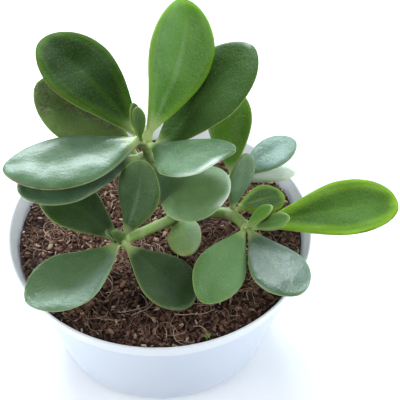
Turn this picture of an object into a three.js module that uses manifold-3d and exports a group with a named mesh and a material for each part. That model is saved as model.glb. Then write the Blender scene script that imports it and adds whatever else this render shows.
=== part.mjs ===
// A young jade plant in a shallow white bowl pot, modelled piece by piece in millimetres.
// The origin is the centre of the pot's flat bottom, +Z is up and -Y is the front of the plant.

import * as THREE from 'three';
import { mergeVertices } from 'three/addons/utils/BufferGeometryUtils.js';
import Module from 'manifold-3d';

const wasm = await Module();
wasm.setup();

// ---- driving dimensions ----

const potHeight = 70;
const rimRadius = 75;
const footRadius = 55.5;
const wallThickness = 1.5;
const floorThickness = 2.4;
const rimBandHeight = 9;
const rimBandStep = 0.5;
const footRounding = 3;
const potFacets = 60;

const drainHoleCount = 6;
const drainHoleRadius = 4;
const drainRingRadius = 34;

const soilLevel = 63.5;
const soilRoughness = 1.1;
const soilShoulder = 2;
const soilFacets = 48;

const seatGap = 0.3;
const stemFacets = 12;
const stemRingSpacing = 4;

const leafRings = 11;
const upperFacets = 5;
const lowerFacets = 7;
const widestPoint = 0.62;
const neckPower = 0.74;
const tipPower = 0.56;
const petioleShare = 0.11;
const petioleFade = 4;

const sproutSpot = new THREE.Vector3(23, -64, 63.5);
const sproutLeafCount = 4;
const sproutLeafSize = [2.1, 1.2, 0.45];

// ---- where the stems run ----

const stemFoot = new THREE.Vector3(8, 5, 52);
const fork = new THREE.Vector3(8, 3, 74);
const crown = new THREE.Vector3(-6, 8, 119);
const crownTip = new THREE.Vector3(-7.5, 8, 123);
const leftShoot = new THREE.Vector3(-17, -24, 86);
const rightShoot = new THREE.Vector3(42, -12, 83);
const rightTip = new THREE.Vector3(43, -15, 84.5);
const rightKnee = new THREE.Vector3(34, -1, 80);
const rearShoot = new THREE.Vector3(36, 20, 84);

const stems = [
  { name: 'main_stem', from: 3.4, to: 2.5, path: [stemFoot, fork, [0, 6, 97], crown] },
  { name: 'left_branch', from: 2.7, to: 2.1, path: [[4.2, -0.6, 74.5], [-8, -14, 81], leftShoot] },
  { name: 'right_branch', from: 2.7, to: 2.6, path: [[12.8, 2, 74.5], [24, 1, 79], rightKnee, rightShoot] },
  { name: 'rear_branch', from: 2.4, to: 2, path: [[11.4, 6.6, 77], [22, 13, 82], rearShoot] },
];

// ---- the leaves ----
// off: how far the base stands from the middle of its shoot, and how far above it
// pose: turn from +X towards +Y, rise above level, roll that lifts the left edge, in degrees
// size: length, width, thickness
// form: fold of the two halves, curl of the tip upwards, sweep of the tip to the left, in degrees
// shape: where the outline differs from the usual leaf: widest point, powers of the neck and the tip,
//        and skew, which slides the left edge towards the tip and the right edge back, in degrees

const leaves = [
  {
    name: 'crown_back_leaf', at: crown, off: [4.4, 4], pose: [71, 40, 50],
    size: [65, 39, 5.3], form: [20, 0, 21],
  },
  {
    name: 'crown_left_up_leaf', at: crown, off: [4.5, 3], pose: [142, 25, -10],
    size: [65, 35, 5.5], form: [14, -10, 9],
  },
  {
    name: 'crown_right_up_leaf', at: crown, off: [5.4, -8.6], pose: [39, 30.6, 0],
    size: [69, 38, 5.3], form: [9, 4, 10],
  },
  {
    name: 'crown_left_leaf', at: crown, off: [3.4, 3], pose: [196.5, -1, -8],
    size: [64, 30, 6], form: [5, 12, -24], shape: { widest: 0.56 },
  },
  {
    name: 'crown_left_low_leaf', at: crown, off: [4, -8], pose: [202, 0, -18],
    size: [59, 29, 5], form: [9, 0, 0],
  },
  {
    name: 'crown_back_low_leaf', at: crown, off: [5, -11], pose: [155, 28, -20],
    size: [59, 32, 5], form: [8, 5, 0],
  },
  {
    name: 'crown_right_leaf', at: crown, off: [3.4, 1], pose: [-42, 22, 0],
    size: [45, 33, 5], form: [-8, -12, 0], shape: { widest: 0.66, tip: 0.3, skew: 14 },
  },
  {
    name: 'crown_right_low_leaf', at: crown, off: [5.6, -10], pose: [-47, 9, 12],
    size: [46.5, 34, 5], form: [0, 0, 10], shape: { widest: 0.66, tip: 0.42 },
  },
  {
    name: 'left_up_leaf', at: leftShoot, off: [3, 3], pose: [52, 66, 0],
    size: [39, 24, 4.5], form: [5, 5, 15],
  },
  {
    name: 'left_back_leaf', at: leftShoot, off: [3, 0], pose: [152, 20, -5],
    size: [44, 28, 4.5], form: [12, -8, 5],
  },
  {
    name: 'left_front_leaf', at: leftShoot, off: [3, 0], pose: [220, -1, -5],
    size: [52, 31, 5], form: [10, 10, -28],
  },
  {
    name: 'left_right_leaf', at: leftShoot, off: [3.4, -2], pose: [-38, -20, -3],
    size: [41, 29, 4.5], form: [11, -5, 8],
  },
  {
    name: 'stem_leaf', at: fork, off: [4.7, -1], pose: [-76, 17, 25],
    size: [29, 17.5, 4.5], form: [12, -5, -10], shape: { widest: 0.52, neck: 0.45, tip: 0.36 },
  },
  {
    name: 'right_front_leaf', at: rightShoot, off: [3.4, 0], pose: [-116, -3, -20],
    size: [46, 24, 5], form: [10, -5, 0],
  },
  {
    name: 'right_side_leaf', at: rightShoot, off: [4, 0], pose: [-61, 2, 0],
    size: [45, 27, 5], form: [2, 8, 8],
  },
  {
    name: 'right_long_leaf', at: rightShoot, off: [3.4, 0], pose: [8, 5, 14],
    size: [71, 31, 5], form: [15, -5, 5], shape: { widest: 0.66, tip: 0.5 },
  },
  {
    name: 'right_back_leaf', at: rightKnee, off: [4, 2], pose: [20, 2, 0],
    size: [25, 19, 4], form: [7, 0, 0],
  },
  {
    name: 'right_up_leaf', at: rightKnee, off: [2.4, 2], pose: [55, 70, 72],
    size: [31, 16, 4.5], form: [8, 0, 0],
  },
  {
    name: 'rear_up_leaf', at: rearShoot, off: [2.6, 0], pose: [92, 43, -20],
    size: [44, 24, 4.5], form: [8, 0, -3],
  },
  {
    name: 'rear_side_up_leaf', at: rearShoot, off: [2.8, 0], pose: [30, 14, 0],
    size: [35, 20, 4.5], form: [5, 0, 0],
  },
  {
    name: 'rear_side_leaf', at: rearShoot, off: [2.8, -3], pose: [16, -4, -14],
    size: [31, 18, 4.5], form: [8, -10, -5],
  },
  {
    name: 'crown_bud_right_leaf', at: crownTip, off: [2.2, 1.2], pose: [256, 86, 0],
    size: [21, 6.8, 3], form: [12, 5, 0],
  },
  {
    name: 'crown_bud_left_leaf', at: crownTip, off: [2.4, 1.6], pose: [146, 83, 0],
    size: [17.5, 7, 3], form: [12, 5, 0],
  },
  {
    name: 'left_bud_back_leaf', at: leftShoot, off: [4.4, 2.6], pose: [208, 66, 0],
    size: [8, 6.6, 2.4], form: [12, 5, 0],
  },
  {
    name: 'left_bud_front_leaf', at: leftShoot, off: [3.4, 2.4], pose: [256, 82, 0],
    size: [11, 6.6, 2.6], form: [12, 5, 0],
  },
  {
    name: 'right_young_back_leaf', at: rightTip, off: [-1.4, 2.2], pose: [26, 30, -10],
    size: [16, 9, 2.6], form: [15, 5, 0],
  },
  {
    name: 'right_young_front_leaf', at: rightTip, off: [2.6, 0.6], pose: [-10, 34, 25],
    size: [20, 9, 2.8], form: [15, 5, 0],
  },
];

// ---- materials ----

const paint = {
  pot: new THREE.MeshStandardMaterial({ color: 0xe6eaf4, roughness: 0.45, metalness: 0 }),
  soil: new THREE.MeshStandardMaterial({ color: 0x4a2c20, roughness: 0.95, metalness: 0 }),
  stem: new THREE.MeshStandardMaterial({ color: 0x7fa35a, roughness: 0.55, metalness: 0 }),
  leaf: new THREE.MeshStandardMaterial({ color: 0x3f6f34, roughness: 0.35, metalness: 0 }),
  youngLeaf: new THREE.MeshStandardMaterial({ color: 0x6f9f3a, roughness: 0.35, metalness: 0 }),
};

// ---- helpers ----

const zUp = new THREE.Vector3(0, 0, 1);

function asPoint(place) {
  return Array.isArray(place) ? new THREE.Vector3(...place) : place;
}

// Keeps only the positions and joins the seam vertices, so the geometry is one closed body.
function closed(geometry) {
  const bare = geometry.clone();
  bare.deleteAttribute('normal');
  bare.deleteAttribute('uv');
  return mergeVertices(bare, 0.001);
}

function toSolid(geometry) {
  const body = closed(geometry);
  const mesh = new wasm.Mesh({
    numProp: 3,
    vertProperties: new Float32Array(body.attributes.position.array),
    triVerts: new Uint32Array(body.index.array),
  });
  return new wasm.Manifold(mesh);
}

function toGeometry(solid) {
  const mesh = solid.getMesh();
  const geometry = new THREE.BufferGeometry();
  geometry.setAttribute('position', new THREE.BufferAttribute(new Float32Array(mesh.vertProperties), 3));
  geometry.setIndex(new THREE.BufferAttribute(new Uint32Array(mesh.triVerts), 1));
  return geometry;
}

// Half width of a leaf as a fraction of its largest, from the base (0) to the tip (1).
// A low tip power gives a blunt tip, a high neck power a slender neck.
function outline(along, widest, neck, tip) {
  const stretch = Math.log(0.5) / Math.log(widest);
  const arch = Math.sin(Math.PI * Math.pow(along, stretch));
  return Math.pow(arch, along < widest ? neck : tip);
}

// A round rod bent along a path; used for every stem and, a little fatter, for the stem's hole in the soil.
function rod(path, startRadius, endRadius) {
  const curve = new THREE.CatmullRomCurve3(path.map(asPoint), false, 'centripetal');
  const steps = Math.ceil(curve.getLength() / stemRingSpacing);
  const frames = curve.computeFrenetFrames(steps);
  const geometry = new THREE.CylinderGeometry(1, 1, steps, stemFacets, steps);
  const spots = geometry.attributes.position;
  for (let i = 0; i < spots.count; i += 1) {
    const ring = Math.round(spots.getY(i) + 0.5 * steps);
    const along = ring / steps;
    const radius = THREE.MathUtils.lerp(startRadius, endRadius, along);
    const point = curve.getPointAt(along);
    point.addScaledVector(frames.normals[ring], radius * spots.getZ(i));
    point.addScaledVector(frames.binormals[ring], radius * spots.getX(i));
    spots.setXYZ(i, point.x, point.y, point.z);
  }
  return closed(geometry);
}

// A leaf is a sphere drawn out between its base and its tip: its rings become the leaf's sections.
function leafGeometry({ at, off, pose, size, form, shape = {} }) {
  const [turn, rise, roll] = pose.map(THREE.MathUtils.degToRad);
  const [fold, curl, sweep] = form.map(THREE.MathUtils.degToRad);
  const widest = shape.widest ?? widestPoint;
  const neckShape = shape.neck ?? neckPower;
  const tipShape = shape.tip ?? tipPower;
  const skew = Math.tan(THREE.MathUtils.degToRad(shape.skew ?? 0));
  const [length, width, thickness] = size;

  const outward = new THREE.Vector3(Math.cos(turn), Math.sin(turn), 0);
  const axis = outward.clone().multiplyScalar(Math.cos(rise)).setZ(Math.sin(rise));
  const side = new THREE.Vector3().crossVectors(zUp, axis).normalize().applyAxisAngle(axis, roll);
  const up = new THREE.Vector3().crossVectors(axis, side);

  const base = at.clone().addScaledVector(outward, off[0]);
  base.z += off[1];
  const tip = base.clone().addScaledVector(axis, length);
  const knee = base.clone().lerp(tip, 0.5);
  knee.addScaledVector(up, -0.5 * length * Math.tan(curl / 2));
  knee.addScaledVector(side, -0.5 * length * Math.tan(sweep / 2));
  const midrib = new THREE.QuadraticBezierCurve3(base, knee, tip);

  const neckHalfWidth = Math.max(petioleShare * 0.5 * width, 0.25 * thickness);
  const neckHalfThickness = 0.3 * thickness;
  const around = upperFacets + lowerFacets;
  const sphere = new THREE.SphereGeometry(1, around, leafRings);
  const spots = sphere.attributes.position;
  for (let ring = 0; ring <= leafRings; ring += 1) {
    const along = 0.5 - 0.5 * Math.cos((Math.PI * ring) / leafRings);
    const centre = midrib.getPoint(along);
    const heading = midrib.getTangent(along);
    const across = side.clone().addScaledVector(heading, -side.dot(heading)).normalize();
    const normal = new THREE.Vector3().crossVectors(heading, across);
    const atPole = ring === 0 || ring === leafRings;
    const neck = Math.pow(1 - along, petioleFade);
    const blade = 0.5 * width * outline(along, widest, neckShape, tipShape);
    const halfWidth = atPole ? 0 : blade + neckHalfWidth * neck;
    const swell = Math.pow(Math.sin(Math.PI * Math.pow(along, 0.75)), 0.35);
    const halfThickness = atPole ? 0 : 0.5 * thickness * swell * (1 - neck) + neckHalfThickness * neck;
    for (let i = 0; i <= around; i += 1) {
      const angle = i <= lowerFacets
        ? (-Math.PI * i) / lowerFacets
        : -Math.PI - (Math.PI * (i - lowerFacets)) / upperFacets;
      const reach = Math.cos(angle) * halfWidth;
      const bulge = Math.sign(Math.sin(angle)) * Math.pow(Math.abs(Math.sin(angle)), 0.8) * halfThickness;
      const point = centre.clone();
      point.addScaledVector(across, reach * Math.cos(fold));
      point.addScaledVector(heading, reach * skew * (1 - neck));
      point.addScaledVector(normal, Math.abs(reach) * Math.sin(fold) + bulge);
      const index = ring * (around + 1) + i;
      spots.setXYZ(index, point.x, point.y, point.z);
    }
  }
  return closed(sphere);
}

const group = new THREE.Group();

function place(name, geometry, material) {
  const mesh = new THREE.Mesh(geometry, material);
  mesh.name = name;
  group.add(mesh);
}

// ---- pot ----

const wallSlope = (rimRadius - footRadius) / potHeight;

function wallRadius(z) {
  return footRadius + wallSlope * z;
}

const bandFoot = potHeight - rimBandHeight;
const potProfile = [
  [0, 0],
  [footRadius - footRounding, 0],
  [footRadius - 0.3 * footRounding + wallSlope, 0.3 * footRounding],
  [wallRadius(footRounding), footRounding],
  [wallRadius(bandFoot) - rimBandStep, bandFoot - 0.8],
  [wallRadius(bandFoot), bandFoot],
  [rimRadius, potHeight - 0.7],
  [rimRadius - 0.5, potHeight],
  [rimRadius - wallThickness + 0.4, potHeight],
  [rimRadius - wallThickness - 0.1, potHeight - 0.6],
  [wallRadius(bandFoot) - rimBandStep - wallThickness, bandFoot - 0.8],
  [wallRadius(floorThickness + footRounding) - wallThickness, floorThickness + footRounding],
  [footRadius - footRounding, floorThickness],
  [0, floorThickness],
].map(([r, z]) => new THREE.Vector2(r, z));

let potSolid = toSolid(new THREE.LatheGeometry(potProfile, potFacets).rotateX(Math.PI / 2));
for (let i = 0; i < drainHoleCount; i += 1) {
  const angle = (2 * Math.PI * i) / drainHoleCount;
  const drill = new THREE.CylinderGeometry(drainHoleRadius, drainHoleRadius, 4 * floorThickness, 16);
  drill.rotateX(Math.PI / 2);
  drill.translate(drainRingRadius * Math.cos(angle), drainRingRadius * Math.sin(angle), 0);
  potSolid = potSolid.subtract(toSolid(drill));
}
place('pot', toGeometry(potSolid), paint.pot);

// ---- soil ----

const soilEdge = wallRadius(soilLevel) - rimBandStep - wallThickness - 2 * seatGap;
const soilProfile = [
  [0, floorThickness + seatGap],
  [footRadius - footRounding - 2 * seatGap, floorThickness + seatGap],
  [wallRadius(floorThickness + footRounding) - wallThickness - 2 * seatGap, floorThickness + footRounding],
  [soilEdge - seatGap, soilLevel - soilShoulder],
  [soilEdge - soilShoulder, soilLevel - 0.3 * soilShoulder],
  [0.82 * soilEdge, soilLevel],
  [0.6 * soilEdge, soilLevel],
  [0.38 * soilEdge, soilLevel],
  [0.18 * soilEdge, soilLevel],
  [0, soilLevel],
].map(([r, z]) => new THREE.Vector2(r, z));

const soilGeometry = closed(new THREE.LatheGeometry(soilProfile, soilFacets).rotateX(Math.PI / 2));
const soilSpots = soilGeometry.attributes.position;
for (let i = 0; i < soilSpots.count; i += 1) {
  const x = soilSpots.getX(i);
  const y = soilSpots.getY(i);
  if (soilSpots.getZ(i) >= soilLevel) {
    const bump = Math.sin(0.21 * x + 1.3) * Math.cos(0.17 * y - 0.4) + 0.5 * Math.sin(0.43 * x - 0.31 * y);
    soilSpots.setZ(i, soilLevel + soilRoughness * bump);
  }
}
const holeRadius = stems[0].from + 2 * seatGap;
const holeFoot = stemFoot.clone().setZ(stemFoot.z - 1);
const stemHole = toSolid(rod([holeFoot, fork, [6.5, 4, 80]], holeRadius, holeRadius));
place('soil', toGeometry(toSolid(soilGeometry).subtract(stemHole)), paint.soil);

// ---- stems ----

for (const stem of stems) {
  place(stem.name, rod(stem.path, stem.from, stem.to), paint.stem);
}

// ---- leaves ----

for (const leaf of leaves) {
  const young = leaf.size[0] < 25;
  place(leaf.name, leafGeometry(leaf), young ? paint.youngLeaf : paint.leaf);
}

// ---- seedling at the front edge of the soil ----

const stalkTop = sproutSpot.clone().add(new THREE.Vector3(0, 0, 2));
let sprout = toSolid(rod([sproutSpot, stalkTop], 0.5, 0.4));
for (let i = 0; i < sproutLeafCount; i += 1) {
  const angle = (2 * Math.PI * i) / sproutLeafCount + 0.4;
  const blade = new THREE.SphereGeometry(1, 8, 6);
  blade.scale(...sproutLeafSize);
  blade.translate(0.9 * sproutLeafSize[0], 0, 0);
  blade.rotateY(-0.35);
  blade.rotateZ(angle);
  blade.translate(stalkTop.x, stalkTop.y, stalkTop.z - 0.3);
  sprout = sprout.add(toSolid(blade));
}
place('weed_sprout', toGeometry(sprout), paint.youngLeaf);

export default group;
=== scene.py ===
import bpy, math, random
import numpy as np
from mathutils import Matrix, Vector, noise


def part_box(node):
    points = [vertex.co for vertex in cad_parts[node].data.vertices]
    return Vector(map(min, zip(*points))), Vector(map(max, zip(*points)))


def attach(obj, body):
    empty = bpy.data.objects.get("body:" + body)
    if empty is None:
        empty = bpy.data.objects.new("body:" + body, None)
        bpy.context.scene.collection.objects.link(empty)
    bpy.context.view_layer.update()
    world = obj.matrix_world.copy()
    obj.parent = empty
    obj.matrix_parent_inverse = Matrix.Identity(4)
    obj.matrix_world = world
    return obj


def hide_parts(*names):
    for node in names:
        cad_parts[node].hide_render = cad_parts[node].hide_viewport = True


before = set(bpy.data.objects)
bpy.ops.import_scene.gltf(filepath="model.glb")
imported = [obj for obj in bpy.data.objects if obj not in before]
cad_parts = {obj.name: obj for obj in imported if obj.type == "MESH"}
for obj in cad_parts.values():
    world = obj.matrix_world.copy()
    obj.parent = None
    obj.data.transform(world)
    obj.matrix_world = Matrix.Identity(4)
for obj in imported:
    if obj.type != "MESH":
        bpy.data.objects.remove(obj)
bpy.context.view_layer.update()
mm = 0.001
print("jade plant: packed frame loaded,", len(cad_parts), "pieces")


def meshObject(name, points, faces, material, smooth=True, tags=None):
    # tags are named values for each point, which the materials read
    mesh = bpy.data.meshes.new(name)
    mesh.from_pydata([tuple(p) for p in points], [], faces)
    mesh.validate()
    mesh.polygons.foreach_set("use_smooth", [smooth] * len(mesh.polygons))
    for tag, values in (tags or {}).items():
        layer = mesh.attributes.new(tag, "FLOAT", "POINT")
        layer.data.foreach_set("value", np.asarray(values, np.float32))
    mesh.update()
    thing = bpy.data.objects.new(name, mesh)
    bpy.context.scene.collection.objects.link(thing)
    mesh.materials.append(material)
    return thing


def gridFaces(rows, columns, start=0):
    # faces of a tube whose points run round each row
    faces = []
    for r in range(rows - 1):
        for c in range(columns):
            n = (c + 1) % columns
            a, b = start + r * columns, start + (r + 1) * columns
            faces.append((a + c, a + n, b + n, b + c))
    return faces


def endCaps(rows, columns, start=0):
    # one flat face over each end of such a tube
    lastRow = start + (rows - 1) * columns
    return [tuple(reversed(range(start, start + columns))), tuple(range(lastRow, lastRow + columns))]


def curveRows(rows, at):
    # smooth values between rows, Catmull-Rom
    rows = np.asarray(rows, float)
    last = len(rows) - 1
    at = np.clip(np.asarray(at, float), 0, last)
    i = np.minimum(at.astype(int), last - 1)
    t = (at - i).reshape((-1,) + (1,) * (rows.ndim - 1))
    p0, p1 = rows[np.maximum(i - 1, 0)], rows[i]
    p2, p3 = rows[i + 1], rows[np.minimum(i + 2, last)]
    return 0.5 * (2 * p1 + (p2 - p0) * t + (2 * p0 - 5 * p1 + 4 * p2 - p3) * t ** 2
                  + (3 * p1 - p0 - 3 * p2 + p3) * t ** 3)


def unit(v):
    v = np.asarray(v, float)
    return v / np.maximum(np.linalg.norm(v, axis=-1, keepdims=True), 1e-12)


def ripple(points, scale, seed):
    # one smooth noise value for each point
    shift = Vector((seed * 7.13, seed * 3.71, seed * 5.37))
    return np.array([noise.noise(Vector(p) * scale + shift) for p in points])


def sharedPoints(nodeName):
    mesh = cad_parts[nodeName].data
    spots = np.array([v.co for v in mesh.vertices], float)
    keys, which = np.unique(np.round(spots * 1e5).astype(int), axis=0, return_inverse=True)
    which = which.ravel()
    near = [set() for _ in keys]
    for face in mesh.polygons:
        corners = [int(which[i]) for i in face.vertices]
        for a, b in zip(corners, corners[1:] + corners[:1]):
            near[a].add(b)
            near[b].add(a)
    return keys / 1e5, near


def ringsFrom(points, near, pole):
    # groups the points by how many edges they are from a pole
    steps = {pole: 0}
    queue = [pole]
    while queue:
        here = queue.pop(0)
        for other in near[here]:
            if other not in steps:
                steps[other] = steps[here] + 1
                queue.append(other)
    rings = [[] for _ in range(max(steps.values()) + 1)]
    for index, step in steps.items():
        rings[step].append(index)
    return [points[ring] for ring in rings]


def findPoles(near):
    return sorted(range(len(near)), key=lambda i: -len(near[i]))[:2]


def opaque(color):
    # a plain colour gets its alpha; sockets and full colours pass through
    return color + (1,) if isinstance(color, tuple) and len(color) == 3 else color


class Bench:
    # lays out nodes in one tree from left to right
    def __init__(self, tree):
        self.tree = tree
        self.count = 0

    def node(self, kind, **settings):
        made = self.tree.nodes.new(kind)
        made.location = (220 * (self.count % 9) - 1200, -240 * (self.count // 9))
        self.count += 1
        for key, value in settings.items():
            setattr(made, key, value)
        return made

    def wire(self, source, target):
        if isinstance(source, bpy.types.NodeSocket):
            self.tree.links.new(source, target)
        elif hasattr(target, "default_value"):
            target.default_value = source

    def math(self, operation, a, b=0.0, c=0.0, clamp=False):
        made = self.node("ShaderNodeMath", operation=operation, use_clamp=clamp)
        for socket, value in zip(made.inputs, (a, b, c)):
            self.wire(value, socket)
        return made.outputs[0]

    def times(self, a, b, clamp=False):
        return self.math("MULTIPLY", a, b, clamp=clamp)

    def plus(self, a, b, clamp=False):
        return self.math("ADD", a, b, clamp=clamp)

    def mix(self, amount, a, b):
        made = self.node("ShaderNodeMix", data_type="RGBA")
        self.wire(amount, made.inputs[0])
        self.wire(opaque(a), made.inputs[6])
        self.wire(opaque(b), made.inputs[7])
        return made.outputs[2]

    def span(self, value, low, high, outLow=0.0, outHigh=1.0, soft=True):
        made = self.node("ShaderNodeMapRange", interpolation_type="SMOOTHSTEP" if soft else "LINEAR")
        for socket, v in zip(made.inputs, (value, low, high, outLow, outHigh)):
            self.wire(v, socket)
        return made.outputs[0]

    def tag(self, name):
        return self.node("ShaderNodeAttribute", attribute_name=name).outputs["Fac"]

    def place(self, stretch=(1, 1, 1)):
        spot = self.node("ShaderNodeTexCoord").outputs["Object"]
        mapping = self.node("ShaderNodeMapping")
        mapping.inputs["Scale"].default_value = stretch
        self.wire(spot, mapping.inputs["Vector"])
        return mapping.outputs[0]

    def cloud(self, scale, detail=3.0, rough=0.5, spot=None, warp=0.0):
        made = self.node("ShaderNodeTexNoise")
        self.wire(spot or self.place(), made.inputs["Vector"])
        made.inputs["Scale"].default_value = scale
        made.inputs["Detail"].default_value = detail
        made.inputs["Roughness"].default_value = rough
        made.inputs["Distortion"].default_value = warp
        return made.outputs["Fac"]

    def bump(self, shader, height, strength, distance):
        made = self.node("ShaderNodeBump")
        made.inputs["Strength"].default_value = strength
        made.inputs["Distance"].default_value = distance
        self.wire(height, made.inputs["Height"])
        self.wire(made.outputs[0], shader.inputs["Normal"])


def newGroup(name, inputs, outputs):
    tree = bpy.data.node_groups.new(name, "ShaderNodeTree")
    for label, kind, value in inputs:
        socket = tree.interface.new_socket(label, in_out="INPUT", socket_type="NodeSocket" + kind)
        socket.default_value = value
    for label, kind in outputs:
        tree.interface.new_socket(label, in_out="OUTPUT", socket_type="NodeSocket" + kind)
    bench = Bench(tree)
    return tree, bench, bench.node("NodeGroupInput").outputs, bench.node("NodeGroupOutput").inputs


def useGroup(bench, tree, **values):
    made = bench.node("ShaderNodeGroup", node_tree=tree)
    for label, value in values.items():
        bench.wire(value, made.inputs[label])
    return made.outputs


def newMaterial(name):
    material = bpy.data.materials.new(name)
    material.use_nodes = True
    tree = material.node_tree
    tree.nodes.clear()
    bench = Bench(tree)
    shader = bench.node("ShaderNodeBsdfPrincipled")
    output = bench.node("ShaderNodeOutputMaterial")
    tree.links.new(shader.outputs[0], output.inputs["Surface"])
    return material, bench, shader


def softLight(shader, weight, radius, scale):
    # light that soaks in and comes out again nearby
    shader.inputs["Subsurface Weight"].default_value = weight
    shader.inputs["Subsurface Radius"].default_value = radius
    shader.inputs["Subsurface Scale"].default_value = scale


def makeLeafZones():
    # where a spot lies on its leaf, as masks from the tags each leaf mesh carries
    tree, b, given, out = newGroup(
        "leafZones",
        [("MarginWidth", "Float", 2.4), ("TipLength", "Float", 0.12)],
        [(mask, "Float") for mask in ("Margin", "Rim", "Tip", "Neck", "Midrib", "Under")])
    edge = b.tag("edgeDistance")
    wobble = b.math("MULTIPLY_ADD", b.cloud(260, 2), 1.2, -0.6)
    b.wire(b.span(b.plus(edge, wobble), given["MarginWidth"], 0.0), out["Margin"])
    b.wire(b.span(edge, 0.5, 0.1), out["Rim"])
    along = b.tag("alongLeaf")
    tipStart = b.math("SUBTRACT", 1.0, given["TipLength"])
    b.wire(b.span(b.plus(along, b.times(wobble, 0.03)), tipStart, 1.0), out["Tip"])
    b.wire(b.span(along, 0.16, 0.0), out["Neck"])
    across = b.math("ABSOLUTE", b.tag("acrossLeaf"))
    ribWidth = b.span(along, 0.0, 0.9, 0.28, 0.06, soft=False)
    b.wire(b.times(b.span(across, ribWidth, 0.0), b.span(along, 0.95, 0.5)), out["Midrib"])
    b.wire(b.tag("underSide"), out["Under"])
    return tree


def makeMottle():
    # soft patches and fine flecks of two related tones
    tree, b, given, out = newGroup(
        "plantMottle",
        [("Deep", "Color", (0.02, 0.08, 0.02, 1)), ("Light", "Color", (0.08, 0.22, 0.05, 1)),
         ("Amount", "Float", 0.5)],
        [("Color", "Color"), ("Patches", "Float")])
    patches = b.cloud(55, 5, 0.55)
    flecks = b.cloud(1300, 3, 0.75)
    blend = b.plus(b.times(b.span(patches, 0.25, 0.75), given["Amount"]),
                   b.times(b.math("SUBTRACT", flecks, 0.44), 1.6), clamp=True)
    b.wire(b.mix(blend, given["Deep"], given["Light"]), out["Color"])
    b.wire(patches, out["Patches"])
    return tree


def makeWaxDots():
    # the pale pores of a jade leaf and the shallow dimples around them
    tree, b, given, out = newGroup(
        "waxDots",
        [("Density", "Float", 620.0)],
        [("Dots", "Float"), ("Dimples", "Float")])
    spot = b.place()
    cells = b.node("ShaderNodeTexVoronoi", feature="F1")
    b.wire(spot, cells.inputs["Vector"])
    b.wire(given["Density"], cells.inputs["Scale"])
    b.wire(b.span(cells.outputs["Distance"], 0.22, 0.08), out["Dots"])
    coarse = b.cloud(560, 3, 0.5)
    fine = b.cloud(1600, 3, 0.6)
    height = b.plus(b.times(coarse, 0.55), b.times(fine, 0.4))
    b.wire(b.plus(height, b.times(cells.outputs["Distance"], 0.2)), out["Dimples"])
    return tree


def makeScars():
    # corky specks and thin dry scratches
    tree, b, given, out = newGroup(
        "leafScars",
        [("Amount", "Float", 0.2)],
        [("Corky", "Float"), ("Scratches", "Float")])
    blotch = b.cloud(240, 4, 0.75, warp=0.8)
    gate = b.span(b.cloud(45, 2), 0.42, 0.62)
    level = b.math("SUBTRACT", 0.78, b.times(given["Amount"], 0.32))
    specks = b.span(blotch, level, b.plus(level, 0.08))
    b.wire(b.times(specks, gate), out["Corky"])
    streak = b.cloud(60, 2, 0.5, spot=b.place((1, 14, 3)), warp=1.5)
    line = b.span(b.math("ABSOLUTE", b.math("SUBTRACT", streak, 0.5)), 0.012, 0.0)
    dry = b.span(b.cloud(90, 2), 0.5, 0.65)
    b.wire(b.times(b.times(line, given["Amount"]), dry), out["Scratches"])
    return tree


leafZones = makeLeafZones()
plantMottle = makeMottle()
waxDots = makeWaxDots()
leafScars = makeScars()
print("jade plant: shared effects ready")


leafLook = {
    "rows": 58,                # sections from neck to tip
    "columns": 40,             # points round each section
    "smallRows": 30,           # the same for the small young leaves
    "smallColumns": 24,
    "smallUnder": 6 * mm,      # half width below which a leaf counts as small
    "neckRows": 7,             # sections of the neck that runs into the stem
    "neckBend": 0.45,          # how straight the neck stays before it turns to the stem
    "topShare": 0.46,          # how much of the thickness lies above the middle plane
    "foldPower": 1.35,         # how late across the blade the fold lifts its sides
    "sectionFullness": 2.3,    # how far out the blade stays thick
    "dish": 0.6 * mm,          # how much the middle of the upper side sinks
    "wander": 0.025,           # how much the outline wanders, of the half width
    "waviness": 0.8 * mm,
    "neckSwell": 1.5,          # how much the neck widens where it meets the stem
    "deep": (0.018, 0.046, 0.004),
    "light": (0.045, 0.098, 0.010),
    "margin": (0.16, 0.30, 0.03),
    "marginWidth": 2.6,
    "marginAmount": 0.40,
    # pale line along the very edge: a painted highlight of the rounded edge
    "rim": (0.48, 0.48, 0.24),
    "rimAmount": 0.35,
    "neck": (0.48, 0.60, 0.22),
    "under": (0.09, 0.17, 0.035),
    # pale pore dots, and a painted bluish sheen of reflected sky where it is laid in patches, on one half or
    # along the midrib
    "wax": (0.42, 0.58, 0.52),
    "waxAmount": 0.03,
    "sideWax": 0.0,            # painted sheen on one half only: minus for the left half, plus for the right
    "paleEdge": 0.0,           # pale band round the tip, partly worn tissue and partly a painted highlight where the curled edge catches the light; same signs
    "worn": (0.62, 0.70, 0.60),
    "baseShade": 0.0,          # painted shade: how much darker the half next to the stem is
    "blush": (0.12, 0.03, 0.02),
    "blushAmount": 0.0,
    "blushSide": 0,            # 0 for both edges, minus for the left one, plus for the right one
    "ribWax": 0.0,             # painted sheen along the middle of the leaf
    "cork": (0.24, 0.18, 0.10),
    "scratch": (0.55, 0.62, 0.46),
    "scars": 0.06,
    "mottle": 0.45,
    "roughness": 0.36,
    "specular": 0.5,
    "dimples": 0.55,
}

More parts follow.
